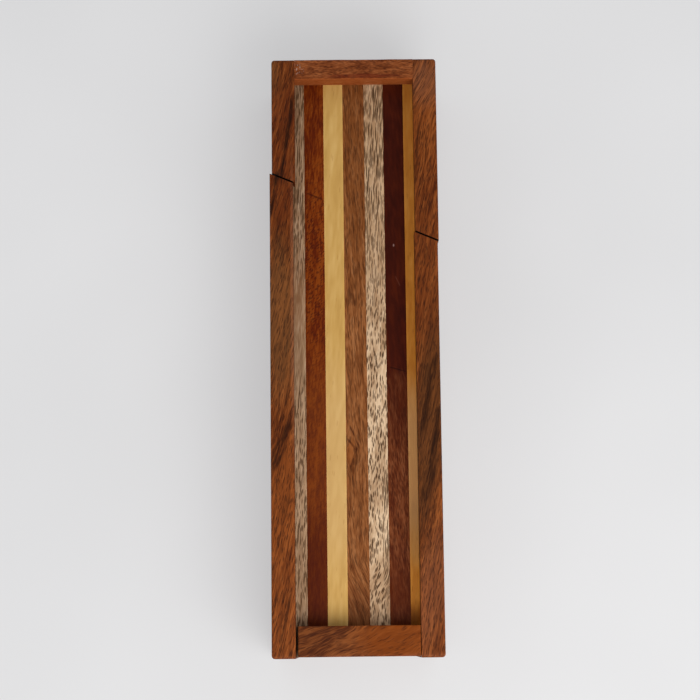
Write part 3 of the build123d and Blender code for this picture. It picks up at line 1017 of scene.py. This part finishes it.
# %% Strips of the panel
strip_finishes = {
    "grey": grey_wood, "russet": russet_wood, "yellow": yellow_wood, "brown": brown_wood,
    "speckled": speckled_wood, "dark": dark_wood, "amber": amber_wood,
}
GLUE_LINE = 0.08 * MM
FIRST_STRIP_SEED = 10
for seed, (name, finish) in enumerate(strip_finishes.items(), FIRST_STRIP_SEED):
    low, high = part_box(f"{name}_strip")
    corners = [(low.x, low.z), (high.x, low.z), (high.x, high.z), (low.x, high.z)]
    stations = [(low.y, 0.0, corners), (high.y, 0.0, corners)]
    rows = carried_board(stations, [GLUE_LINE] * 4, (GLUE_LINE, GLUE_LINE), [1.0] * 4, WANDER, seed)
    fit_board(board_object(f"{name}_lid_strip", *rows), f"{name}_strip", "lid", finish)

# %% [markdown]
# ## Walls, floor and hidden pieces
# The walls and the floor keep their solids. Their wood is a plainer cut of the rails' sheesham with
# the grain along the box; the lower edge, which rubs on tables, is scuffed. Inside sit beech dowels
# and tongue, left bare, and a drawn steel pin.

# %% Finishes of the carried-over solids
CORNER_X_MM = 33.7, 34.4
CORNER_Y_MM = 124.2, 124.9
DRAWN_DEPTH = 0.02 * MM


def wall_wood(name, crosswise):
    """Plain sheesham with a scuffed foot; end walls have their grain across the box."""
    finish = Finish(name)
    grain = cross_grain(finish, 2.0, 1.5) if crosswise else grain_place(finish, 4.0, 1.5)
    finish.colour, value = streaky(finish, grain, sheesham, 0.8, 11, 0.8)
    lines = dark_lines(finish, grain, 0.7, 16, 0.56)
    finish.lay(lines, 0.35, NEARLY_BLACK)
    pores = dashes(finish, grain, 0.62, 3.0, 0.7, 0.36)
    finish.lay(pores, 0.5, NEARLY_BLACK)
    x, y, height = finish.parts(finish.place())
    scuffs = finish.noise(finish.fitted(finish.place(), (3, 3, 1.0)), 4.0)
    foot = finish.soft(finish.sum("MULTIPLY_ADD", scuffs, 2.0, height), 1.2, 2.6, 0.5, 0.0)
    corner = finish.sum("MULTIPLY", finish.soft(finish.sum("ABSOLUTE", x), *CORNER_X_MM), scuffs)
    corner = finish.sum("MULTIPLY", corner, finish.soft(finish.sum("ABSOLUTE", y), *CORNER_Y_MM))
    finish.colour = finish.mix(finish.sum("MAXIMUM", foot, corner), finish.colour, tint(150, 104, 68))
    oil(finish, value, pores)
    return finish


side_wall_wood = wall_wood("sheesham_sides", False)
end_wall_wood = wall_wood("sheesham_ends", True)

beech = Finish("bare_beech")
beech_grain = grain_place(beech, 0.0, 0.3)
beech_tones = [tint(176, 140, 100), tint(198, 162, 122), tint(214, 182, 144)]
beech.colour, beech_streak = streaky(beech, beech_grain, beech_tones, 1.0, 8)
beech_pores = dashes(beech, beech_grain, 0.5, 1.6, 0.5)
beech.lay(beech_pores, 0.5, tint(140, 98, 62))
oil(beech, beech_streak, beech_pores, 0.6)

steel = Finish("drawn_steel")
drawn_lines = steel.noise(steel.fitted(steel.place(), (18, 0.12, 0.12)), 3.0)
dull_spots = steel.noise(steel.fitted(steel.place(), (2, 2, 2)), 3.0)
steel_colour = steel.ramp(dull_spots, [(0.35, tint(168, 168, 172)), (0.65, tint(205, 205, 208))])
steel_rough = steel.soft(drawn_lines, 0.3, 0.7, 0.22, 0.38)
steel_relief = {"Height": drawn_lines, "Strength": 0.2, "Distance": DRAWN_DEPTH}
steel_bump = steel.node("ShaderNodeBump", steel_relief)
steel_shader = steel.node("ShaderNodeBsdfPrincipled", {
    "Base Color": steel_colour, "Metallic": 1.0, "Roughness": steel_rough,
    "Normal": steel_bump.outputs["Normal"],
})
steel.node("ShaderNodeOutputMaterial", {"Surface": steel_shader.outputs["BSDF"]})

kept_solids = {
    "left_wall": side_wall_wood, "right_wall": side_wall_wood, "floor_board": side_wall_wood,
    "near_wall": end_wall_wood, "far_wall": end_wall_wood, "lock_tongue": beech, "corner_dowels": beech,
    "head_dowels": beech, "block_dowels": beech, "lock_pin": steel,
}
for node, finish in kept_solids.items():
    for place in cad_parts[node].material_slots:
        place.material = finish.material
print("solids kept:", ", ".join(kept_solids))

# %% [markdown]
# ## Size, and the end of the lesson
# The dressed box must stay inside the solids' box; each board above printed how far its box lies
# from its solid's.
